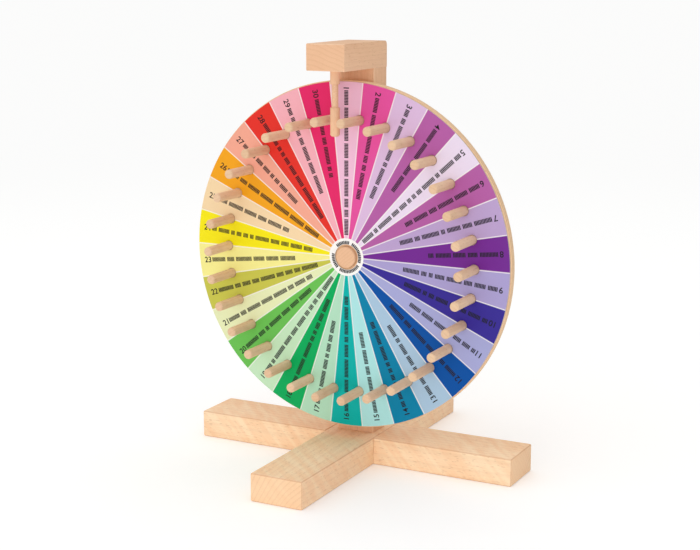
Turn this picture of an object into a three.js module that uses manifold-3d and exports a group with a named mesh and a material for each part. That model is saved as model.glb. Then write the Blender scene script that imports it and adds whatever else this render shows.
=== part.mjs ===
// A tabletop prize wheel in beech. A printed card dial sits on a plywood disc with thirty pegs. The disc
// turns on a wooden axle in a post on a cross base, and a flexible pointer hangs between the pegs from an
// arm at the top. Millimetres. +Z is up, the dial faces -Y, and the origin is the middle of the underside.

import * as THREE from 'three';
import { mergeVertices } from 'three/addons/utils/BufferGeometryUtils.js';
import Module from 'manifold-3d';

const wasm = await Module();
wasm.setup();

// Driving dimensions

const BEAM = { length: 304, width: 48, height: 24, ease: 0.8 };
const POST = { width: 35, depth: 24, ease: 1 };
const ARM = { height: 22, top: 364.5, reach: 66, backCornerRadius: 3.5, ease: 1 };
const AXIS_HEIGHT = 183;
const BOARD = { radius: 150, thickness: 6.5, segments: 120 };
const CARD = { radius: 149, thickness: 1.4, segments: 120 };
const DIAL_FACE = 29; // the card's front, ahead of the post's middle
const PEG = { count: 30, radius: 4, pitchRadius: 117.8, standOff: 35, endRound: 1.6, segments: 16 };
const AXLE = { radius: 9, proud: 2, ease: 0.5, segments: 48 };
const SPACER = { radius: 18, segments: 48 };
const WASHER = { radius: 16, thickness: 1.5, holeRadius: 3 };
const POINTER = { radius: 4, planeY: -49, stubEnd: 331, neckEnd: 312, tipEnd: 288, ease: 0.4, segments: 24 };
const STUB_SET_IN = 12;
const NOSE_ROUND = 2;
const NECK = { radius: 2.8, setIn: 5, ease: 0.3 };
const DOWEL = { radius: 4, ease: 0.6, segments: 16 };
const POST_DOWEL = { spread: 11, top: 43 };
const ARM_DOWEL = { spread: 10, length: 30 };
const POST_SCREW = { shankRadius: 2.4, headRadius: 4.7, headDepth: 2.6, headEdge: 0.3, length: 60 };
const POST_SCREW_SUNK = 0.6; // its head, below the underside of the base
const REAR_SCREW = { shankRadius: 2.4, headRadius: 4.6, headHeight: 3, headRound: 1.6, length: 22 };
const RECESS = { reach: 2.4, width: 0.9, depth: 1.6 }; // the cross slot of a screw head
const SCREW_POINT = 4;
const SCREW_SEGMENTS = 24;

// Clearances

const RUNNING_GAP = 0.1; // axle in the post's bore
const GLUE_GAP = 0.15; // a dowel or cord in its hole
const FACE_GAP = 0.05; // two glued faces
const CARD_GAP = 0.1; // the loose card on the disc
const CARD_PEG_GAP = 0.4; // the card's holes, round the pegs
const CARD_HUB_GAP = 2; // the card's middle hole, round the axle
const LAP_GAP = 0.15; // each side of the half-lap
const SCREW_GAP = 0.3; // round a screw and its head
const END_PLAY = 0.35; // spacer and washer against the post
const OVERSHOOT = 1; // how far a cutting shape runs past the face it opens, and a hole past its dowel

// Places worked out from them

const ARM_UNDERSIDE = ARM.top - ARM.height;
const STUB_TOP = ARM_UNDERSIDE + STUB_SET_IN;
const CARD_BACK = DIAL_FACE - CARD.thickness;
const BOARD_FRONT = CARD_BACK - CARD_GAP;
const BOARD_BACK = BOARD_FRONT - BOARD.thickness;
const SPACER_BACK = POST.depth / 2 + END_PLAY;
const AXLE_BACK = -(POST.depth / 2 + END_PLAY);
const WASHER_FRONT = AXLE_BACK - FACE_GAP;
const WASHER_BACK = WASHER_FRONT - WASHER.thickness;

function finish(color, roughness, metalness = 0) {
  return new THREE.MeshStandardMaterial({ color, roughness, metalness });
}

const beech = finish('#ecc39c', 0.65);
const beechEnd = finish('#e2b78c', 0.75);
const plywood = finish('#efcfa6', 0.7);
const printedCard = finish('#f1c3d8', 0.45);
const leather = finish('#e2b98d', 0.6);
const steel = finish('#b9bcc0', 0.35, 1);

// Shapes

// The corners of a regular polygon round (x, y), as near a circle as its number of sides gives.
function circlePoints(radius, segments, x = 0, y = 0) {
  const corner = (i) => {
    const angle = (2 * Math.PI * i) / segments;
    return new THREE.Vector2(x + radius * Math.cos(angle), y + radius * Math.sin(angle));
  };
  return Array.from({ length: segments }, (_, i) => corner(i));
}

// A rectangle round the origin with rounded corners. radii goes round from the corner at +x, -y.
function roundedRectangle(width, height, radii, steps = 3) {
  const [lowRight, topRight, topLeft, lowLeft] = radii;
  const corners = [
    { x: width / 2 - lowRight, y: lowRight - height / 2, radius: lowRight },
    { x: width / 2 - topRight, y: height / 2 - topRight, radius: topRight },
    { x: topLeft - width / 2, y: height / 2 - topLeft, radius: topLeft },
    { x: lowLeft - width / 2, y: lowLeft - height / 2, radius: lowLeft },
  ];
  const points = corners.flatMap(({ x, y, radius }, quarter) =>
    Array.from({ length: steps + 1 }, (_, step) => {
      const angle = (Math.PI / 2) * (quarter - 1 + step / steps);
      return new THREE.Vector2(x + radius * Math.cos(angle), y + radius * Math.sin(angle));
    }),
  );
  return new THREE.Shape(points);
}

// A plate in the xy plane from z = low to z = high.
function plate(shape, low, high) {
  const settings = { depth: high - low, bevelEnabled: false };
  return new THREE.ExtrudeGeometry(shape, settings).translate(0, 0, low);
}

// A block on the origin with all of its edges eased.
function easedBlock(width, depth, height, ease) {
  const cornerRadius = 1.5 * ease;
  const outline = roundedRectangle(width, depth, Array(4).fill(cornerRadius), 2);
  const bevel = { bevelSize: ease, bevelThickness: ease, bevelOffset: -ease, bevelSegments: 1 };
  return new THREE.ExtrudeGeometry(outline, { depth: height - 2 * ease, ...bevel }).translate(0, 0, ease);
}

// A piece turned about z, from an outline of [radius, z] pairs that runs from axis to axis, lowest first.
function turned(outline, segments) {
  const points = outline.map(([radius, z]) => new THREE.Vector2(radius, z));
  return new THREE.LatheGeometry(points, segments).rotateX(Math.PI / 2);
}

// A ring turned about z.
function ring(innerRadius, outerRadius, low, high, segments) {
  const shape = new THREE.Shape(circlePoints(outerRadius, segments));
  shape.holes.push(new THREE.Path(circlePoints(innerRadius, segments)));
  return plate(shape, low, high);
}

// The quarter-round at the top of a turned piece, from its side to its flat end.
function roundedTop(radius, top, round, steps = 3) {
  return Array.from({ length: steps + 1 }, (_, step) => {
    const angle = (Math.PI / 2) * (step / steps);
    return [radius - round + round * Math.cos(angle), top - round + round * Math.sin(angle)];
  });
}

// The same at the bottom, from the flat end out to the side.
function roundedBottom(radius, bottom, round, steps) {
  return roundedTop(radius, -bottom, round, steps)
    .map(([across, z]) => [across, -z])
    .reverse();
}

function solidOf(geometry) {
  const bare = geometry.clone();
  bare.deleteAttribute('normal');
  bare.deleteAttribute('uv');
  const merged = mergeVertices(bare, 1e-4);
  const vertProperties = new Float32Array(merged.attributes.position.array);
  const triVerts = new Uint32Array(merged.index.array);
  return new wasm.Manifold(new wasm.Mesh({ numProp: 3, vertProperties, triVerts }));
}

// The first geometry with the others cut away from it.
function cut(geometry, ...tools) {
  const solid = tools.reduce((rest, tool) => rest.subtract(solidOf(tool)), solidOf(geometry));
  const { vertProperties, triVerts } = solid.getMesh();
  const result = new THREE.BufferGeometry();
  result.setAttribute('position', new THREE.BufferAttribute(vertProperties, 3));
  result.setIndex(new THREE.BufferAttribute(triVerts, 1));
  result.computeVertexNormals();
  return result;
}

function box(width, depth, height) {
  return new THREE.BoxGeometry(width, depth, height);
}

// A straight round hole along z, to be cut from a piece.
function hole(radius, low, high, segments) {
  return plate(new THREE.Shape(circlePoints(radius, segments)), low, high);
}

function piece(name, geometry, material) {
  const mesh = new THREE.Mesh(geometry, material);
  mesh.name = name;
  return mesh;
}

// A plain dowel along z with both ends eased.
function dowel({ radius, ease, segments }, low, high) {
  const bottom = roundedBottom(radius, low, ease, 1);
  const top = roundedTop(radius, high, ease, 1);
  return turned([[0, low], ...bottom, ...top, [0, high]], segments);
}

// Screws, pointing along +z with the underside of the head at z = 0

function crossSlot(top) {
  const long = 2 * RECESS.reach;
  const arms = [box(long, RECESS.width, 2 * RECESS.depth), box(RECESS.width, long, 2 * RECESS.depth)];
  return arms.map((arm) => arm.translate(0, 0, top));
}

function countersunkScrew({ shankRadius, headRadius, headDepth, headEdge, length }) {
  const outline = [
    [0, -headDepth],
    [headRadius, -headDepth],
    [headRadius, headEdge - headDepth],
    [shankRadius, 0],
    [shankRadius, length - headDepth - SCREW_POINT],
    [0, length - headDepth],
  ];
  return cut(turned(outline, SCREW_SEGMENTS), ...crossSlot(-headDepth));
}

function panHeadScrew({ shankRadius, headRadius, headHeight, headRound, length }) {
  const outline = [
    [0, -headHeight],
    ...roundedBottom(headRadius, -headHeight, headRound, 2),
    [headRadius, 0],
    [shankRadius, 0],
    [shankRadius, length - SCREW_POINT],
    [0, length],
  ];
  return cut(turned(outline, SCREW_SEGMENTS), ...crossSlot(-headHeight));
}

// The base: two beams half-lapped into a cross

function postScrewHole() {
  const { shankRadius, headRadius, headDepth, length } = POST_SCREW;
  const seat = POST_SCREW_SUNK + SCREW_GAP;
  const end = POST_SCREW_SUNK + length + OVERSHOOT;
  const outline = [
    [0, -OVERSHOOT],
    [headRadius + SCREW_GAP, -OVERSHOOT],
    [headRadius + SCREW_GAP, seat],
    [shankRadius + SCREW_GAP, seat + headDepth],
    [shankRadius + SCREW_GAP, end],
    [0, end],
  ];
  return turned(outline, SCREW_SEGMENTS);
}

// A pair of upright dowel holes, either side of the middle.
function dowelHolePair(spread, low, high) {
  return [-1, 1].map((side) => {
    const drilled = hole(DOWEL.radius + GLUE_GAP, low - OVERSHOOT, high + OVERSHOOT, DOWEL.segments);
    return drilled.translate(side * spread, 0, 0);
  });
}

function postDowelHoles() {
  return dowelHolePair(POST_DOWEL.spread, BEAM.height / 2, POST_DOWEL.top);
}

function baseBeamLeftRight() {
  const beam = easedBlock(BEAM.length, BEAM.width, BEAM.height, BEAM.ease);
  const lap = box(BEAM.width + 2 * LAP_GAP, 2 * BEAM.width, BEAM.height);
  const topLap = lap.translate(0, 0, BEAM.height - FACE_GAP);
  return piece('base_beam_left_right', cut(beam, topLap, postScrewHole()), beech);
}

function baseBeamFrontBack() {
  const beam = easedBlock(BEAM.width, BEAM.length, BEAM.height, BEAM.ease);
  const lap = box(2 * BEAM.width, BEAM.width + 2 * LAP_GAP, BEAM.height);
  const geometry = cut(beam, lap, postScrewHole(), ...postDowelHoles());
  return piece('base_beam_front_back', geometry, beech);
}

// The post and the arm on top of it

function axleBore() {
  const bore = hole(AXLE.radius + RUNNING_GAP, -POST.depth, POST.depth, AXLE.segments);
  return bore.rotateX(Math.PI / 2).translate(0, 0, AXIS_HEIGHT);
}

function armDowelHoles() {
  const half = ARM_DOWEL.length / 2;
  return dowelHolePair(ARM_DOWEL.spread, ARM_UNDERSIDE - half, ARM_UNDERSIDE + half);
}

function post() {
  const outline = roundedRectangle(POST.width, POST.depth, Array(4).fill(POST.ease));
  const column = plate(outline, BEAM.height + FACE_GAP, ARM_UNDERSIDE - FACE_GAP);
  const holes = [axleBore(), postScrewHole(), ...postDowelHoles(), ...armDowelHoles()];
  return piece('post', cut(column, ...holes), beech);
}

// The arm's side view is drawn with x forwards (towards -Y) and y up, then given the post's width.
function headArm() {
  const length = ARM.reach + POST.depth / 2;
  const { ease, backCornerRadius } = ARM;
  const sideView = roundedRectangle(length, ARM.height, [ease, ease, backCornerRadius, 0]);
  const block = plate(sideView, -POST.width / 2, POST.width / 2)
    .rotateX(Math.PI / 2)
    .rotateZ(-Math.PI / 2)
    .translate(0, (POST.depth / 2 - ARM.reach) / 2, ARM.top - ARM.height / 2);
  const stubHole = hole(
    POINTER.radius + GLUE_GAP,
    ARM_UNDERSIDE - OVERSHOOT,
    STUB_TOP + OVERSHOOT,
    POINTER.segments,
  ).translate(0, POINTER.planeY, 0);
  return piece('head_arm', cut(block, ...armDowelHoles(), stubHole), beech);
}

function standFixings() {
  const group = new THREE.Group();
  const postDowelLow = BEAM.height / 2 + LAP_GAP;
  const half = ARM_DOWEL.length / 2;
  for (const [side, word] of [[-1, 'left'], [1, 'right']]) {
    const postDowel = piece(`post_dowel_${word}`, dowel(DOWEL, postDowelLow, POST_DOWEL.top), beechEnd);
    postDowel.position.x = side * POST_DOWEL.spread;
    const armDowel = piece(`arm_dowel_${word}`, dowel(DOWEL, -half, half), beechEnd);
    armDowel.position.set(side * ARM_DOWEL.spread, 0, ARM_UNDERSIDE);
    group.add(postDowel, armDowel);
  }
  const screw = piece('post_screw', countersunkScrew(POST_SCREW), steel);
  screw.position.z = POST_SCREW_SUNK + POST_SCREW.headDepth;
  group.add(screw);
  return group;
}

// The pointer: a stub in the arm, a flexible neck, and the tip that the pegs flick

// The hole for the neck in the end of the stub or of the tip.
function neckSocket(low, high) {
  return hole(NECK.radius + GLUE_GAP, low - OVERSHOOT, high + OVERSHOOT, POINTER.segments);
}

function pointerStub() {
  const socket = neckSocket(POINTER.stubEnd, POINTER.stubEnd + NECK.setIn);
  return piece('pointer_stub', cut(dowel(POINTER, POINTER.stubEnd, STUB_TOP), socket), beech);
}

function pointerNeck() {
  const low = POINTER.neckEnd - NECK.setIn;
  const high = POINTER.stubEnd + NECK.setIn;
  return piece('pointer_neck', dowel({ ...NECK, segments: POINTER.segments }, low, high), leather);
}

function pointerTip() {
  const { radius, neckEnd, tipEnd, ease, segments } = POINTER;
  const nose = roundedBottom(radius, tipEnd, NOSE_ROUND, 4);
  const top = roundedTop(radius, neckEnd, ease, 1);
  const body = turned([[0, tipEnd], ...nose, ...top, [0, neckEnd]], segments);
  return piece('pointer_tip', cut(body, neckSocket(neckEnd - NECK.setIn, neckEnd)), beech);
}

function pointer() {
  const group = new THREE.Group();
  group.position.y = POINTER.planeY;
  group.add(pointerStub(), pointerNeck(), pointerTip());
  return group;
}

// The wheel, drawn with z forwards (towards -Y) and y up, about its own axis

// Where peg number i (from 1) stands: clockwise from the top, half a sector from the upright.
function pegPlace(i) {
  const angle = ((i - 0.5) * 2 * Math.PI) / PEG.count;
  return { x: PEG.pitchRadius * Math.sin(angle), y: PEG.pitchRadius * Math.cos(angle) };
}

// A disc with a hole for each peg and one for the axle.
function drilledDisc({ radius, segments }, hubGap, pegGap, low, high) {
  const shape = new THREE.Shape(circlePoints(radius, segments));
  shape.holes.push(new THREE.Path(circlePoints(AXLE.radius + hubGap, AXLE.segments)));
  for (let i = 1; i <= PEG.count; i += 1) {
    const { x, y } = pegPlace(i);
    shape.holes.push(new THREE.Path(circlePoints(PEG.radius + pegGap, PEG.segments, x, y)));
  }
  return plate(shape, low, high);
}

function pegs() {
  const front = DIAL_FACE + PEG.standOff;
  const outline = [
    [0, BOARD_BACK],
    [PEG.radius, BOARD_BACK],
    ...roundedTop(PEG.radius, front, PEG.endRound),
    [0, front],
  ];
  return Array.from({ length: PEG.count }, (_, index) => {
    const number = index + 1;
    const { x, y } = pegPlace(number);
    const peg = piece(`peg_${String(number).padStart(2, '0')}`, turned(outline, PEG.segments), beech);
    peg.position.set(x, y, 0);
    return peg;
  });
}

function axleDowel() {
  const body = dowel(AXLE, AXLE_BACK, DIAL_FACE + AXLE.proud);
  const pilotEnd = AXLE_BACK + REAR_SCREW.length;
  const pilot = hole(REAR_SCREW.shankRadius + GLUE_GAP, AXLE_BACK - OVERSHOOT, pilotEnd, SCREW_SEGMENTS);
  return piece('axle_dowel', cut(body, pilot), beechEnd);
}

function rearFixings() {
  const washer = ring(WASHER.holeRadius, WASHER.radius, WASHER_BACK, WASHER_FRONT, SPACER.segments);
  const screw = piece('retaining_screw', panHeadScrew(REAR_SCREW), steel);
  screw.position.z = WASHER_BACK - FACE_GAP;
  return [piece('retaining_washer', washer, steel), screw];
}

function spacerRing() {
  const spacerFront = BOARD_BACK - FACE_GAP;
  const geometry = ring(AXLE.radius + GLUE_GAP, SPACER.radius, SPACER_BACK, spacerFront, SPACER.segments);
  return piece('spacer_ring', geometry, beech);
}

function wheel() {
  const group = new THREE.Group();
  group.position.z = AXIS_HEIGHT;
  group.rotation.x = Math.PI / 2;
  group.add(
    piece('wheel_board', drilledDisc(BOARD, GLUE_GAP, GLUE_GAP, BOARD_BACK, BOARD_FRONT), plywood),
    piece('dial_card', drilledDisc(CARD, CARD_HUB_GAP, CARD_PEG_GAP, CARD_BACK, DIAL_FACE), printedCard),
    spacerRing(),
    axleDowel(),
    ...rearFixings(),
    ...pegs(),
  );
  return group;
}

const prizeWheel = new THREE.Group();
prizeWheel.add(baseBeamLeftRight(), baseBeamFrontBack(), post(), headArm(), standFixings());
prizeWheel.add(pointer(), wheel());

export default prizeWheel;
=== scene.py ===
# The looks of a tabletop prize wheel: bare beech, a printed card dial with thirty sectors, thirty pegs and a
# flexible pointer. Metres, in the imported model's frame: +Z is up, and the dial faces -Y.

import math
import random

import bmesh
import bpy
from mathutils import Matrix, Vector


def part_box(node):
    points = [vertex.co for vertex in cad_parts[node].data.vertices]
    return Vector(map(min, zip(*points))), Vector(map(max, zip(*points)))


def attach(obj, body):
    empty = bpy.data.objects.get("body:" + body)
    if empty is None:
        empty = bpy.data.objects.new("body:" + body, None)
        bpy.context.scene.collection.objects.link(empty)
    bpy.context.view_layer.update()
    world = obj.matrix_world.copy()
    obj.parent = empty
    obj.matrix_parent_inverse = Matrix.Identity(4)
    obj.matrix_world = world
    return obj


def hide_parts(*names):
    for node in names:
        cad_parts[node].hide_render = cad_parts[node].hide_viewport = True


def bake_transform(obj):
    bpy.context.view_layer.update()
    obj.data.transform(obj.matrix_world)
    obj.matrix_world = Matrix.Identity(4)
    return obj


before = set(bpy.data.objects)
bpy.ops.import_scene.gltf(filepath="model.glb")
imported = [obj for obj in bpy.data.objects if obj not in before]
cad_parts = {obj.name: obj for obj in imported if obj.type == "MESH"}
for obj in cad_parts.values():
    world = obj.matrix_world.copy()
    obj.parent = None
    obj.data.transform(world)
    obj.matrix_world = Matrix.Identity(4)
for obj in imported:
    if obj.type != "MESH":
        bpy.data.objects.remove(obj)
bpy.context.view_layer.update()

MM = 0.001

# The wheel, as the frame gives it

CARD_LOW, CARD_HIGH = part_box("dial_card")
BOARD_LOW, BOARD_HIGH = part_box("wheel_board")
AXLE_LOW, AXLE_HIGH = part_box("axle_dowel")
PEG_NAMES = sorted(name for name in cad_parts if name.startswith("peg_"))
CENTRE = (CARD_LOW + CARD_HIGH) / 2
DIAL_Y = CARD_LOW.y
CARD_RADIUS = (CARD_HIGH.z - CARD_LOW.z) / 2
AXLE_RADIUS = (AXLE_HIGH.z - AXLE_LOW.z) / 2

# The dial's sectors, clockwise from the top. Each one is centred on its own direction.

SECTOR_COLOURS = [
    "#F1C0DA", "#E4529E", "#DCBBDE", "#B55FA5", "#ECDCF0", "#B55FA4", "#BCA2CF", "#742A92", "#ABA0D1", "#392C94",
    "#A7A9D7", "#0050A2", "#A9C6DE", "#0082AA", "#AEE6E6", "#00B3AD", "#B4E2C5", "#00AC5C", "#C6E9C3", "#6AC054",
    "#E7ECBA", "#C8C54D", "#F7EE93", "#F7E814", "#F6D8AB", "#F4A61F", "#F4A992", "#E5342A", "#F5B0BB", "#E42A69",
]
SECTORS = len(SECTOR_COLOURS)

# How far in the line of print runs in each sector, as a share of the dial's radius

PRINT_ENDS = [
    0.20, 0.40, 0.42, 0.50, 0.15, 0.46, 0.34, 0.50, 0.43, 0.37, 0.50, 0.37, 0.49, 0.39, 0.53,
    0.24, 0.43, 0.33, 0.16, 0.33, 0.29, 0.20, 0.42, 0.21, 0.38, 0.25, 0.42, 0.35, 0.44, 0.45,
]

# The print's sizes

HUB_RING_RADIUS = 16.3 * MM
HUB_MARKS = {"radius": 12.7 * MM, "height": 2.7 * MM, "stroke": 1.1 * MM, "pitch": 1.45 * MM, "gap": 2.4 * MM}
HATCH = {"height": 3.8 * MM, "stroke": 0.92 * MM, "pitch": 1.25 * MM, "gap": 1.9 * MM}
NUMBER_HEIGHT = 5 * MM
INK_LIFT = 0.03 * MM
PRINT_START = CARD_RADIUS - 5 * MM

# Wood tones: a light and a middle tone for each batch of beech, and one for the marks in both

PALE = ("#FFE0BB", "#FACFA5")
ROSY = ("#F3C8A3", "#E9B892")
DRY = ("#F3D3B2", "#E8C4A0")
WOOD_MARK = "#BE8A5E"


def srgb(hex_code):
    """A colour such as "#F1C3D8" as Blender's linear numbers."""
    values = [int(hex_code[i:i + 2], 16) / 255 for i in (1, 3, 5)]
    linear = [v / 12.92 if v <= 0.04045 else ((v + 0.055) / 1.055) ** 2.4 for v in values]
    return (*linear, 1.0)


# Node graphs


class Graph:
    """Short calls that add nodes to a tree. Each one gives back an output socket."""

    def __init__(self, tree):
        self.tree = tree

    def feed(self, socket, value):
        if isinstance(value, bpy.types.NodeSocket):
            self.tree.links.new(value, socket)
        else:
            socket.default_value = value

    def add(self, kind, inputs=None, output=0, **settings):
        node = self.tree.nodes.new(kind)
        for key, value in settings.items():
            setattr(node, key, value)
        for key, value in (inputs or {}).items():
            self.feed(node.inputs[key], value)
        return node.outputs[output]

    def math(self, operation, a, b=0.0, clamp=False):
        return self.add("ShaderNodeMath", {0: a, 1: b}, operation=operation, use_clamp=clamp)

    def times(self, a, b):
        return self.math("MULTIPLY", a, b)

    def plus(self, a, b):
        return self.math("ADD", a, b)

    def length(self, a, b):
        return self.math("SQRT", self.plus(self.times(a, a), self.times(b, b)))

    def vector(self, x, y, z):
        return self.add("ShaderNodeCombineXYZ", {0: x, 1: y, 2: z})

    def split(self, vector):
        node = self.tree.nodes.new("ShaderNodeSeparateXYZ")
        self.feed(node.inputs[0], vector)
        return list(node.outputs)

    def mix(self, share, a, b, blend="MIX"):
        return self.add("ShaderNodeMix", {0: share, 6: a, 7: b}, 2, data_type="RGBA", blend_type=blend)

    def span(self, value, low, high, to_low=0.0, to_high=1.0):
        """value's way from low to high, eased, as a number from to_low to to_high."""
        inputs = {"Value": value, 1: low, 2: high, 3: to_low, 4: to_high}
        return self.add("ShaderNodeMapRange", inputs, interpolation_type="SMOOTHSTEP")

    def noise(self, vector, scale=1.0, detail=2.0, distortion=0.0):
        inputs = {"Vector": vector, "Scale": scale, "Detail": detail, "Distortion": distortion}
        return self.add("ShaderNodeTexNoise", inputs)

    def object_mm(self):
        """The place on the piece in millimetres, in the frame's axes at rest, so patterns turn with their body."""
        place = self.add("ShaderNodeTexCoord", output="Object")
        return self.add("ShaderNodeVectorMath", {0: place, 1: (1 / MM,) * 3}, operation="MULTIPLY")

    def facing(self):
        """The surface's direction, in the frame's axes at rest."""
        return self.split(self.add("ShaderNodeTexCoord", output="Normal"))


class Surface(Graph):
    """A new material with a Principled shader."""

    def __init__(self, name):
        self.material = bpy.data.materials.new(name)
        self.material.use_nodes = True
        super().__init__(self.material.node_tree)
        self.shader = self.tree.nodes["Principled BSDF"]

    def bump(self, height, depth, strength=1.0):
        inputs = {"Height": height, "Distance": depth, "Strength": strength}
        self.feed(self.shader.inputs["Normal"], self.add("ShaderNodeBump", inputs))

    def finish(self, colour, roughness, **others):
        self.feed(self.shader.inputs["Base Color"], colour)
        self.feed(self.shader.inputs["Roughness"], roughness)
        for name, value in others.items():
            self.feed(self.shader.inputs[name.replace("_", " ")], value)
        return self.material


# Wood

GRAIN_AXES = {"X": (0, 1, 2), "Y": (1, 2, 0), "Z": (2, 0, 1)}  # along the grain, then the two ways across it
PIECE_STRIDE = (700, 60)  # mm along and across the log from one varied piece to another, at most


class Log:
    """Coordinates in mm in a log whose grain runs along axis. In a varied material, each piece comes from its own
    place in the log."""

    def __init__(self, g, axis, varied):
        self.g = g
        place = g.split(g.object_mm())
        self.along, self.across, self.through = (place[i] for i in GRAIN_AXES[axis])
        self.own = g.add("ShaderNodeObjectInfo", output="Random") if varied else 0.5
        if varied:
            self.along = g.plus(self.along, g.times(self.own, PIECE_STRIDE[0]))
            self.across = g.plus(self.across, g.times(self.own, PIECE_STRIDE[1]))

    def noise(self, stretch, scale, detail=2.0):
        """Noise that is stretch times longer along the grain than across it."""
        place = self.g.vector(self.g.times(self.along, 1 / stretch), self.across, self.through)
        return self.g.noise(place, scale, detail)

    def late_wood(self, pith, ring):
        """1 on the dark line that ends each year's growth. pith is the log's heart, ring a year's width, in mm."""
        g = self.g
        from_pith = g.length(g.math("SUBTRACT", self.across, pith[0]), g.math("SUBTRACT", self.through, pith[1]))
        wander = g.times(self.noise(7, 0.016), 5 * ring)
        year = g.math("FRACT", g.times(g.plus(from_pith, wander), 1 / ring))
        return g.times(g.span(year, 0.5, 0.93), g.span(year, 1.0, 0.95))

    def flame(self):
        """Slanting bands of light and dark, about a centimetre apart."""
        g = self.g
        slant = g.plus(self.along, g.times(g.plus(self.across, self.through), 0.9))
        place = g.vector(g.times(slant, 0.12), g.times(g.math("SUBTRACT", self.along, self.across), 0.02), 0.0)
        return g.noise(place, detail=4)


def wood(name, axis, tones=ROSY, pith=(60, -35), ring=4.2, flame=0.35, varied=False, arris=None):
    """Bare beech with its grain along axis. A piece with flat faces along the frame's axes may have a tone of its own
    on its arrises: a lighter tone there is a painted highlight, a darker one only makes the edges darker."""
    g = Surface(name)
    log = Log(g, axis, varied)
    late = log.late_wood(pith, ring)
    fibre = log.noise(22, 1.1, 3)
    fleck = g.span(log.noise(5, 1.1, 1), 0.61, 0.73)
    speck = g.span(log.noise(2, 0.2), 0.765, 0.80)

    slow = g.times(g.math("SUBTRACT", log.noise(5, 0.035, 3), 0.5), 2.2)
    fine = g.times(g.math("SUBTRACT", fibre, 0.5), 1.1)
    slanted = g.times(g.math("SUBTRACT", log.flame(), 0.5), 4 * flame)
    tone = g.math("ADD", g.plus(slow, fine), g.plus(slanted, 0.5), clamp=True)
    colour = g.mix(tone, srgb(tones[1]), srgb(tones[0]))
    colour = g.mix(g.times(late, 0.09), colour, srgb(WOOD_MARK))
    colour = g.mix(g.times(fleck, 0.32), colour, srgb(WOOD_MARK))
    colour = g.mix(g.times(speck, 0.55), colour, srgb("#8A5A38"))

    facing = g.facing()
    end_face = g.span(g.math("ABSOLUTE", facing[GRAIN_AXES[axis][0]]), 0.55, 0.85)
    pores = g.span(log.noise(1, 2.2, 1), 0.58, 0.70)
    end_marks = g.math("ADD", g.times(late, 0.16), g.times(pores, 0.20), clamp=True)
    end_colour = g.mix(end_marks, srgb(tones[1]), srgb(WOOD_MARK))
    colour = g.mix(g.times(end_face, 0.7), colour, end_colour)
    if varied:
        colour = g.mix(g.span(log.own, 0.0, 1.0, 0.0, 0.16), colour, srgb(WOOD_MARK))
    # A lighter arris tone is a painted highlight along the edges; a darker one only makes the edges darker.
    if arris:
        flattest = g.math("MAXIMUM", g.math("ABSOLUTE", facing[0]), g.math("ABSOLUTE", facing[1]))
        flattest = g.math("MAXIMUM", flattest, g.math("ABSOLUTE", facing[2]))
        colour = g.mix(g.span(flattest, 0.97, 0.80, 0.0, 0.45), colour, srgb(arris))

    g.bump(g.math("SUBTRACT", g.times(fibre, 0.8), g.times(g.plus(fleck, g.times(pores, end_face)), 0.5)), 0.07 * MM, 0.8)
    roughness = g.plus(g.span(fibre, 0.2, 0.8, 0.48, 0.62), g.times(end_face, 0.12))
    return g.finish(colour, roughness, Specular_IOR_Level=0.3)


def plywood():
    """Beech-faced plywood: grain along X on its faces, and its five plies showing as stripes round the rim."""
    g = Surface("plywood")
    log = Log(g, "X", False)
    fibre = log.noise(20, 0.9, 3)
    tone = g.math("ADD", g.times(log.noise(4, 0.05, 3), 1.3), g.times(fibre, 0.8), clamp=True)
    face = g.mix(g.span(tone, 0.6, 1.0), srgb("#F8D6B0"), srgb("#EFC59B"))
    figure = g.math("FRACT", g.times(log.noise(12, 0.045, 1), 12))
    vein = g.times(g.span(figure, 0.5, 0.95), g.span(figure, 1.0, 0.96))
    fleck = g.span(log.noise(5, 0.9, 1), 0.63, 0.74)
    face = g.mix(g.plus(g.times(vein, 0.15), g.times(fleck, 0.2)), face, srgb(WOOD_MARK))

    plies = 5
    depth = g.math("SUBTRACT", g.split(g.object_mm())[1], BOARD_LOW.y / MM)
    ply = g.math("PINGPONG", g.times(depth, plies * MM / (BOARD_HIGH.y - BOARD_LOW.y)), 1.0)
    dots = g.noise(g.object_mm(), 1.1, 3)
    rim_light = g.mix(dots, srgb("#FBE0BC"), srgb("#EFC99F"))
    rim_dark = g.mix(dots, srgb("#EBC397"), srgb("#C99A6E"))
    rim = g.mix(g.span(ply, 0.42, 0.58), rim_light, rim_dark)
    on_rim = g.span(g.math("ABSOLUTE", g.facing()[1]), 0.75, 0.45)
    g.bump(g.plus(fibre, g.times(dots, 0.5)), 0.05 * MM, 0.7)
    return g.finish(g.mix(on_rim, face, rim), g.span(fibre, 0.2, 0.8, 0.5, 0.64), Specular_IOR_Level=0.3)


# The card and its ink, the cord and the steel


def sector_colour(g, turn):
    """turn counts sectors clockwise from the first one's leading edge. The colour is picked at each sector's middle,
    because a ramp's stops are only good to a degree or so."""
    node = g.tree.nodes.new("ShaderNodeValToRGB")
    node.color_ramp.interpolation = "CONSTANT"
    elements = node.color_ramp.elements
    elements.remove(elements[-1])
    elements[0].color = srgb(SECTOR_COLOURS[0])
    for i in range(1, SECTORS):
        elements.new(i / SECTORS).color = srgb(SECTOR_COLOURS[i])
    middle = g.plus(g.math("FLOOR", turn), 0.5)
    g.feed(node.inputs[0], g.times(middle, 1 / SECTORS))
    return node.outputs[0]


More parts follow.
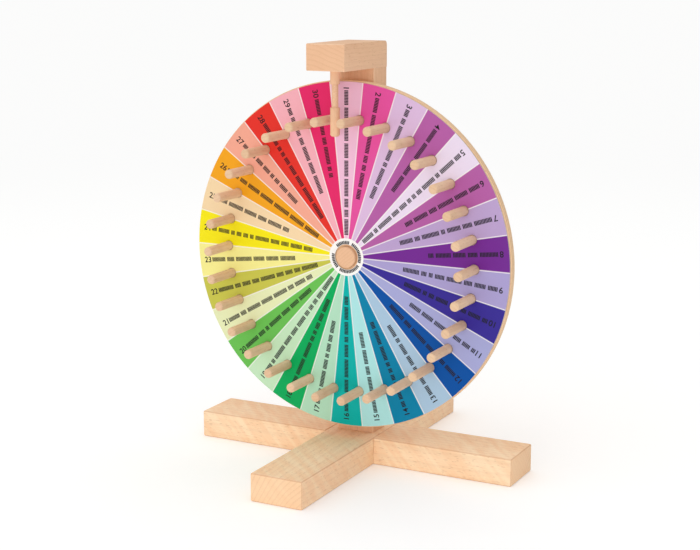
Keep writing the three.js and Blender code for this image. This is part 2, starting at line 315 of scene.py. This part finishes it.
def printed_card():
    """Satin printed card: thirty coloured sectors, thin pale lines between them, and a white ring round the hub."""
    g = Surface("printed_card")
    place = g.object_mm()
    x, _, z = g.split(place)
    up = g.math("SUBTRACT", z, CENTRE.z / MM)
    radius = g.length(x, up)
    angle = g.times(g.math("ARCTAN2", x, up), SECTORS / (2 * math.pi))
    turn = g.math("MODULO", g.plus(angle, SECTORS + 0.5), SECTORS)
    colour = sector_colour(g, turn)

    white = srgb("#FDFAF7")
    from_line = g.times(g.times(g.math("PINGPONG", turn, 0.5), 2 * math.pi / SECTORS), radius)
    colour = g.mix(g.span(from_line, 0.62, 0.32, 0.0, 0.72), colour, white)
    ring = HUB_RING_RADIUS / MM
    colour = g.mix(g.span(radius, ring + 0.1, ring - 0.1), colour, white)

    grain = g.noise(place, 1.4, 3)
    mottle = g.noise(place, 0.02, 2)
    value = g.plus(g.span(grain, 0.25, 0.75, 0.975, 1.0), g.span(mottle, 0.3, 0.7, -0.025, 0.0))
    colour = g.mix(1.0, colour, g.vector(value, value, value), "MULTIPLY")

    front = g.span(g.facing()[1], -0.5, -0.8)
    board = g.mix(g.noise(place, 2.2, 3), srgb("#D9D2C6"), srgb("#BDB5A8"))
    g.bump(grain, 0.015 * MM, 0.6)
    roughness = g.plus(g.span(grain, 0.3, 0.7, 0.34, 0.44), g.math("SUBTRACT", 0.4, g.times(front, 0.4)))
    return g.finish(g.mix(front, board, colour), roughness, Specular_IOR_Level=0.12)


def ink():
    """Matt black printing ink, a little uneven."""
    g = Surface("ink")
    mottle = g.noise(g.object_mm(), 1.4, 3)
    colour = g.mix(mottle, srgb("#0E0C10"), srgb("#221F24"))
    return g.finish(colour, g.span(mottle, 0.3, 0.7, 0.42, 0.6), Specular_IOR_Level=0.2)


def leather():
    """Round natural leather cord, with fine creases across it and a soft sheen."""
    g = Surface("leather_cord")
    x, y, z = g.split(g.object_mm())
    crease = g.noise(g.vector(x, y, g.times(z, 1.8)), 0.8, 4)
    pores = g.add("ShaderNodeTexVoronoi", {"Vector": g.object_mm(), "Scale": 3.2})
    tone = g.math("ADD", g.times(crease, 0.8), g.times(pores, 0.15), clamp=True)
    colour = g.mix(g.span(tone, 0.25, 0.75), srgb("#E3B088"), srgb("#F2C8A4"))
    g.bump(tone, 0.06 * MM, 0.7)
    return g.finish(colour, g.span(crease, 0.3, 0.7, 0.42, 0.6), Sheen_Weight=0.15)


def zinc(name, about_wheel):
    """Zinc-plated steel, with fine turning marks round the wheel's axis or across an upright screw."""
    g = Surface(name)
    place = g.object_mm()
    x, _, z = g.split(place)
    patch = g.noise(place, 0.35, 4)
    from_axis = g.length(x, g.math("SUBTRACT", z, CENTRE.z / MM)) if about_wheel else z
    marks = g.noise(g.vector(from_axis, 0.0, 0.0), 3.4)
    g.bump(marks, 0.02 * MM, 0.5)
    colour = g.mix(patch, srgb("#D2D3D4"), srgb("#B1AFA8"))
    return g.finish(colour, g.span(patch, 0.3, 0.7, 0.26, 0.44), Metallic=1.0)


# Mesh tools


def add_piece(name, bm, material, body, replaces=()):
    """Turns a bmesh in the frame's axes into a piece that stands for CAD nodes. A body of None leaves the piece on no
    body.
    """
    mesh = bpy.data.meshes.new(name)
    bm.to_mesh(mesh)
    bm.free()
    mesh.shade_smooth()
    mesh.set_sharp_from_angle(angle=math.radians(35))
    mesh.materials.append(material)
    piece = bpy.data.objects.new(name, mesh)
    bpy.context.scene.collection.objects.link(piece)
    if replaces:
        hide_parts(*replaces)
    if body:
        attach(piece, body)
    return piece


def eased_copy(node, ease):
    """The CAD node's own shape, with its flat faces in one piece each and its edges rounded by ease."""
    bm = bmesh.new()
    bm.from_mesh(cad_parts[node].data)
    bmesh.ops.remove_doubles(bm, verts=bm.verts, dist=0.001 * MM)
    bmesh.ops.dissolve_limit(bm, angle_limit=math.radians(1), verts=bm.verts, edges=bm.edges)
    round_edges(bm, ease, math.radians(25), 3)
    return bm


def round_edges(bm, ease, least_angle, segments):
    bm.normal_update()
    sharp = [e for e in bm.edges if len(e.link_faces) == 2 and e.calc_face_angle() > least_angle]
    bmesh.ops.bevel(bm, geom=sharp, offset=ease, segments=segments, profile=0.5, affect="EDGES", clamp_overlap=True)


def join_rings(bm, low, high):
    """Faces between two rings of vertices. A ring of one vertex is a point on the axis."""
    count = max(len(low), len(high))
    for i in range(count):
        j = (i + 1) % count
        corners = [low[i % len(low)], low[j % len(low)], high[j % len(high)], high[i % len(high)]]
        unique = list(dict.fromkeys(corners))
        if len(unique) > 2:
            bm.faces.new(unique)


def turned(profile, segments, base, direction):
    """A piece turned about the line from base along direction, from (radius, distance along) pairs."""
    bm = bmesh.new()
    tilt = Vector((0, 0, 1)).rotation_difference(Vector(direction)).to_matrix()
    rings = []
    for radius, along in profile:
        count = segments if radius > 0 else 1
        angles = [2 * math.pi * i / segments for i in range(count)]
        points = [Vector((radius * math.cos(a), radius * math.sin(a), along)) for a in angles]
        rings.append([bm.verts.new(Vector(base) + tilt @ point) for point in points])
    for low, high in zip(rings, rings[1:]):
        join_rings(bm, low, high)
    bmesh.ops.remove_doubles(bm, verts=bm.verts, dist=0.001 * MM)
    bmesh.ops.recalc_face_normals(bm, faces=bm.faces)
    return bm


def rounded_end(radius, end, round_by, steps=6):
    """Profile points from a turned piece's side, round to its flat end."""
    angles = [math.pi / 2 * i / steps for i in range(steps + 1)]
    start = end - round_by
    return [(radius - round_by * (1 - math.cos(a)), start + round_by * math.sin(a)) for a in angles]


def socketed(radius, length, socket_radius, depth, ease):
    """A dowel's profile from the bottom of a socket in its near end round to its side; the far end is added after it.
    """
    socket = [(0, depth), (socket_radius, depth), (socket_radius, 0.2 * MM), (socket_radius + 0.2 * MM, 0)]
    return [*socket, (radius - ease, 0), (radius - 0.3 * ease, 0.3 * ease), (radius, ease)]


class Round:
    """A round CAD node: its middle, its radius, and its ends along axis number axis."""

    def __init__(self, node, axis):
        low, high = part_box(node)
        across = (axis + 1) % 3
        self.middle = (low + high) / 2
        self.radius = (high[across] - low[across]) / 2
        self.low = low[axis]
        self.high = high[axis]
        self.length = self.high - self.low


# Discs with a hole for each peg, made flat with x to the right, y up and z forwards

STEPS = 8  # mesh steps along each side of the patch round a peg's hole
PATCH_HALF = 12.3 * MM  # half of that patch, along the radius


def polar(turn, radius):
    """The place at that angle clockwise from the top."""
    return Vector((radius * math.sin(turn), radius * math.cos(turn), 0))


def pitch_radius():
    middle = Round(PEG_NAMES[0], 1).middle
    return math.hypot(middle.x - CENTRE.x, middle.z - CENTRE.z)


def peg_patch(bm, turn, pitch, hole_radius):
    """The patch of a disc round one peg's hole, out to the neighbouring patches."""
    half_turn = math.pi / SECTORS
    inner, outer = pitch - PATCH_HALF, pitch + PATCH_HALF
    shares = [i / STEPS for i in range(STEPS)]
    border = [polar(turn - half_turn + 2 * half_turn * s, outer) for s in shares]
    border += [polar(turn + half_turn, outer - 2 * PATCH_HALF * s) for s in shares]
    border += [polar(turn + half_turn - 2 * half_turn * s, inner) for s in shares]
    border += [polar(turn - half_turn, inner + 2 * PATCH_HALF * s) for s in shares]
    middle = polar(turn, pitch)
    around = [turn - math.pi / 4 + 2 * math.pi * i / len(border) for i in range(len(border))]
    outside = [bm.verts.new(point) for point in border]
    inside = [bm.verts.new(middle + polar(a, hole_radius)) for a in around]
    join_rings(bm, outside, inside)


def annulus(bm, radii):
    """Rings of faces with the given radii, with a vertex wherever a peg's patch has one."""
    count = SECTORS * STEPS
    turns = [2 * math.pi * (i / count - 0.5 / SECTORS) for i in range(count)]
    rings = [[bm.verts.new(polar(turn, radius)) for turn in turns] for radius in radii]
    for low, high in zip(rings, rings[1:]):
        join_rings(bm, low, high)


def pegged_disc(low, high, hub_gap, peg_gap, ease):
    """A disc that fills the box from low to high, with its holes hub_gap and peg_gap wider than what is in them."""
    pitch = pitch_radius()
    hub = AXLE_RADIUS + hub_gap
    peg_hole = Round(PEG_NAMES[0], 1).radius + peg_gap
    bm = bmesh.new()
    for i in range(SECTORS):
        peg_patch(bm, (i + 0.5) * 2 * math.pi / SECTORS, pitch, peg_hole)
    annulus(bm, [hub, 2.5 * hub, 6 * hub, pitch - PATCH_HALF])
    annulus(bm, [pitch + PATCH_HALF, (high.z - low.z) / 2])
    bmesh.ops.remove_doubles(bm, verts=bm.verts, dist=0.01 * MM)
    made = bmesh.ops.extrude_face_region(bm, geom=bm.faces[:])
    moved = [v for v in made["geom"] if isinstance(v, bmesh.types.BMVert)]
    bmesh.ops.translate(bm, verts=moved, vec=(0, 0, high.y - low.y))
    bmesh.ops.recalc_face_normals(bm, faces=bm.faces)
    round_edges(bm, ease, math.radians(60), 2)
    bmesh.ops.transform(bm, matrix=dial_plane(high.y), verts=bm.verts)
    return bm


def dial_plane(y):
    """The flat discs' axes, set upright in the frame at that y and facing -Y."""
    return Matrix.Translation((CENTRE.x, y, CENTRE.z)) @ Matrix.Rotation(math.pi / 2, 4, "X")


# The dial's print: numbers, and hatched bars in the place of words, as ink just proud of the card


def add_stroke(bm, place, x, width, height):
    """An upright stroke of ink in the axes of place, centred on x and on its line of print."""
    size = Matrix.Diagonal((width, height, 2 * INK_LIFT, 1))
    bmesh.ops.create_cube(bm, size=1, matrix=place @ Matrix.Translation((x, 0, 0)) @ size)


def radial_place(turn):
    """The axes of a line of print that starts at the rim and runs in, with x along it and y up from it."""
    inwards = -polar(turn, 1)
    upwards = Vector((math.cos(turn), -math.sin(turn), 0))
    axes = Matrix((inwards, upwards, Vector((0, 0, 1)))).transposed().to_4x4()
    return Matrix.Translation(polar(turn, PRINT_START)) @ axes


def add_number(bm, number, place):
    """The digits of number as ink. Gives back how long they are."""
    curve = bpy.data.curves.new("number", "FONT")
    curve.body = str(number)
    curve.size = NUMBER_HEIGHT / 0.7
    curve.offset = 0.12 * MM
    curve.extrude = INK_LIFT
    text = bpy.data.objects.new("number", curve)
    bpy.context.scene.collection.objects.link(text)
    depsgraph = bpy.context.evaluated_depsgraph_get()
    mesh = bpy.data.meshes.new_from_object(text.evaluated_get(depsgraph))
    xs = [v.co.x for v in mesh.vertices]
    ys = [v.co.y for v in mesh.vertices]
    mesh.transform(place @ Matrix.Translation((-min(xs), -(min(ys) + max(ys)) / 2, 0)))
    bm.from_mesh(mesh)
    bpy.data.objects.remove(text)
    bpy.data.meshes.remove(mesh)
    return max(xs) - min(xs)


def add_bars(bm, place, start, end, draw):
    """Hatched bars from x = start to about x = end."""
    x = start
    while x < end:
        for _ in range(draw.randint(3, 13)):
            add_stroke(bm, place, x, HATCH["stroke"], HATCH["height"])
            x += HATCH["pitch"]
        x += HATCH["gap"]


def add_hub_marks(bm):
    """Four runs of short marks round the hub's white ring."""
    turn = -0.75
    for marks in (9, 13, 14, 9):
        for _ in range(marks):
            place = Matrix.Translation(polar(turn, HUB_MARKS["radius"])) @ Matrix.Rotation(-turn, 4, "Z")
            add_stroke(bm, place, 0, HUB_MARKS["stroke"], HUB_MARKS["height"])
            turn += HUB_MARKS["pitch"] / HUB_MARKS["radius"]
        turn += HUB_MARKS["gap"] / HUB_MARKS["radius"]


def dial_print():
    bm = bmesh.new()
    draw = random.Random(11)
    for i, share in enumerate(PRINT_ENDS):
        place = radial_place(2 * math.pi * i / SECTORS)
        length = add_number(bm, i + 1, place)
        add_bars(bm, place, length + HATCH["gap"], PRINT_START - share * CARD_RADIUS, draw)
    add_hub_marks(bm)
    bmesh.ops.remove_doubles(bm, verts=bm.verts, dist=0.0005 * MM)
    bmesh.ops.transform(bm, matrix=dial_plane(DIAL_Y), verts=bm.verts)
    bmesh.ops.recalc_face_normals(bm, faces=bm.faces)
    return bm


# Pieces

GLUE_GAP = 0.15 * MM  # round a dowel in its hole
CARD_PEG_GAP = 0.4 * MM  # round the pegs, in the card
CARD_HUB_GAP = 2 * MM  # round the axle, in the card


def stand():
    # The pale arris tone on the post and arm is a painted highlight; the base beams' edges are only made darker.
    darker_arris, painted_arris_highlight = "#C98F68", "#FFE6C8"
    for node, axis, tones, pith, flame, arris in (
        ("base_beam_left_right", "X", PALE, (60, -35), 0.8, darker_arris),
        ("base_beam_front_back", "Y", PALE, (-48, 70), 0.65, darker_arris),
        ("post", "Z", ROSY, (52, 44), 0.15, painted_arris_highlight),
        ("head_arm", "Y", ROSY, (30, -62), 0.15, painted_arris_highlight),
    ):
        material = wood(f"beech_{node}", axis, tones, pith, flame=flame, arris=arris)
        add_piece(f"{node}_eased", eased_copy(node, 0.45 * MM), material, "stand", [node])


def pegs():
    material = wood("beech_pegs", "Y", tones=DRY, pith=(9, 7), ring=3.1, varied=True)
    for name in PEG_NAMES:
        peg = Round(name, 1)
        profile = [(0, 0), (peg.radius, 0), *rounded_end(peg.radius, peg.length, 1.6 * MM), (0, peg.length)]
        base = (peg.middle.x, peg.high, peg.middle.z)
        add_piece(f"{name}_turned", turned(profile, 40, base, (0, -1, 0)), material, "wheel", [name])


def discs():
    board = pegged_disc(BOARD_LOW, BOARD_HIGH, GLUE_GAP, GLUE_GAP, 0.35 * MM)
    add_piece("wheel_board_drilled", board, plywood(), "wheel", ["wheel_board"])
    card = pegged_disc(CARD_LOW, CARD_HIGH, CARD_HUB_GAP, CARD_PEG_GAP, 0.1 * MM)
    add_piece("dial_card_printed", card, printed_card(), "wheel", ["dial_card"])
    add_piece("dial_print", dial_print(), ink(), "wheel")


def axle():
    dowel = Round("axle_dowel", 1)
    screw_end = Round("retaining_screw", 1).low
    shank_hole = 2.55 * MM
    profile = socketed(dowel.radius, dowel.length, shank_hole, dowel.high - screw_end + 1 * MM, 0.5 * MM)
    profile += [*rounded_end(dowel.radius, dowel.length, 0.6 * MM, 4), (0, dowel.length)]
    piece = turned(profile, 96, (dowel.middle.x, dowel.high, dowel.middle.z), (0, -1, 0))
    material = wood("beech_axle", "Y", pith=(4, 190), ring=2.4)
    add_piece("axle_dowel_turned", piece, material, "wheel", ["axle_dowel"])


def ring(node, inner, ease):
    """A ring about the wheel's axis in place of a CAD one, with both rims eased."""
    whole = Round(node, 1)
    outer, length = whole.radius, whole.length
    outline = [(inner + ease, 0), (outer - ease, 0), (outer, ease), (outer, length - ease)]
    outline += [(outer - ease, length), (inner + ease, length), (inner, length - ease), (inner, ease)]
    return turned([*outline, outline[0]], 96, (whole.middle.x, whole.high, whole.middle.z), (0, -1, 0))


def rear_fixings():
    spacer_wood = wood("beech_spacer", "X", pith=(240, 40))
    steel = zinc("zinc_turned", True)
    spacer = ring("spacer_ring", AXLE_RADIUS + GLUE_GAP, 0.5 * MM)
    add_piece("spacer_ring_turned", spacer, spacer_wood, "wheel", ["spacer_ring"])
    washer = ring("retaining_washer", 3 * MM, 0.2 * MM)
    add_piece("retaining_washer_turned", washer, steel, "wheel", ["retaining_washer"])
    screw = eased_copy("retaining_screw", 0.12 * MM)
    add_piece("retaining_screw_eased", screw, steel, "wheel", ["retaining_screw"])


def pointer():
    stub, neck, tip = (Round(f"pointer_{part}", 2) for part in ("stub", "neck", "tip"))
    material = wood("beech_pointer", "Z", pith=(8, -41), ring=2.8)
    bore = neck.radius + GLUE_GAP
    ease = 0.5 * MM

    profile = socketed(stub.radius, stub.length, bore, neck.high - stub.low, ease)
    profile += [*rounded_end(stub.radius, stub.length, ease, 2), (0, stub.length)]
    piece = turned(profile, 48, (stub.middle.x, stub.middle.y, stub.low), (0, 0, 1))
    add_piece("pointer_stub_turned", piece, material, "stand", ["pointer_stub"])

    profile = socketed(tip.radius, tip.length, bore, tip.high - neck.low, ease)
    profile += [*rounded_end(tip.radius, tip.length, 2.2 * MM), (0, tip.length)]
    piece = turned(profile, 48, (tip.middle.x, tip.middle.y, tip.high), (0, 0, -1))
    add_piece("pointer_tip_turned", piece, material, "pointer", ["pointer_tip"])

    steps = 48
    profile = [(0, 0), *((neck.radius, neck.length * i / steps) for i in range(steps + 1)), (0, neck.length)]
    piece = turned(profile, 36, (neck.middle.x, neck.middle.y, neck.low), (0, 0, 1))
    cord = add_piece("pointer_neck_cord", piece, leather(), None, ["pointer_neck"])
    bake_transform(cord)


def stand_fixings():
    """Gives the CAD nodes that stay as they are, all of them inside the stand, their materials."""
    dowel = wood("beech_dowels", "Z", pith=(6, 3), ring=2.6, varied=True)
    choices = {f"{place}_dowel_{side}": dowel for place in ("post", "arm") for side in ("left", "right")}
    choices["post_screw"] = zinc("zinc_post_screw", False)
    for node, material in choices.items():
        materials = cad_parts[node].data.materials
        materials.clear()
        materials.append(material)


# Stage

BACKGROUND = (0.97, 0.97, 0.966, 1)
LIGHT_FROM = Vector((-0.1, -0.1, 1)).normalized()  # the side the studio is brightest on
LIGHT_LEVEL = 0.22
LIGHT_SLOPE = 1.12
LAMPS = {
    "key": {"place": (-1.0, -2.4, 0.95), "width": 1.7, "height": 2.0, "watts": 2},
    "fill": {"place": (0.5, -2.4, 0.34), "width": 0.9, "height": 0.5, "watts": 9.3},
}


def floor():
    size = 12
    bm = bmesh.new()
    bmesh.ops.create_grid(bm, x_segments=1, y_segments=1, size=size)
    g = Surface("floor")
    x, y, _ = g.split(g.object_mm())
    paper = g.noise(g.object_mm(), 0.15, 3)
    shade = g.mix(paper, (0.96, 0.96, 0.955, 1), (0.98, 0.98, 0.975, 1))
    g.finish(shade, 0.8, Emission_Color=(1, 1, 1, 1), Emission_Strength=0.12)
    glow = g.add("ShaderNodeEmission", {"Color": BACKGROUND, "Strength": 1.0})
    far = g.span(g.length(x, y), 500, 2200)
    surface = g.add("ShaderNodeMixShader", {0: far, 1: g.shader.outputs[0], 2: glow})
    g.feed(g.tree.nodes["Material Output"].inputs["Surface"], surface)
    mesh = bpy.data.meshes.new("floor")
    bm.to_mesh(mesh)
    bm.free()
    mesh.materials.append(g.material)
    plane = bpy.data.objects.new("floor", mesh)
    bpy.context.scene.collection.objects.link(plane)


def studio():
    """Light from all round, brighter from the front left. The camera sees a plain pale background."""
    world = bpy.data.worlds.new("studio")
    bpy.context.scene.world = world
    world.use_nodes = True
    g = Graph(world.node_tree)
    direction = g.add("ShaderNodeTexCoord", output="Generated")
    towards = g.add("ShaderNodeVectorMath", {0: direction, 1: LIGHT_FROM}, "Value", operation="DOT_PRODUCT")
    level = g.plus(g.times(towards, LIGHT_SLOPE), LIGHT_LEVEL)
    seen = g.add("ShaderNodeLightPath", output="Is Camera Ray")
    strength = g.plus(level, g.times(seen, g.math("SUBTRACT", 1.0, level)))
    background = world.node_tree.nodes["Background"]
    background.inputs["Color"].default_value = BACKGROUND
    g.feed(background.inputs["Strength"], strength)


def lamps():
    """A large soft light from the upper left, and a low one that reaches under the disc and the arm."""
    for name, lamp in LAMPS.items():
        data = bpy.data.lights.new(name, "AREA")
        data.shape = "RECTANGLE"
        data.size = lamp["width"]
        data.size_y = lamp["height"]
        data.energy = lamp["watts"]
        light = bpy.data.objects.new(name, data)
        place = Vector(lamp["place"])
        light.location = place
        light.rotation_mode = "QUATERNION"
        light.rotation_quaternion = (Vector((0, 0, CENTRE.z)) - place).to_track_quat("-Z", "Y")
        bpy.context.scene.collection.objects.link(light)


def camera():
    """Seen from the right and a little above, at the distance that gives the object its perspective."""
    data = bpy.data.cameras.new("camera")
    data.lens = 76
    data.sensor_width = 36
    view = bpy.data.objects.new("camera", data)
    place = Vector((0.572, -1.126, 0.424))
    view.location = place
    view.rotation_mode = "QUATERNION"
    view.rotation_quaternion = (Vector((0.004, -0.03, 0.168)) - place).to_track_quat("-Z", "Y")
    bpy.context.scene.collection.objects.link(view)
    bpy.context.scene.camera = view
    bpy.context.scene.view_settings.view_transform = "Standard"


stand()
discs()
pegs()
axle()
rear_fixings()
pointer()
stand_fixings()
floor()
studio()
lamps()
camera()
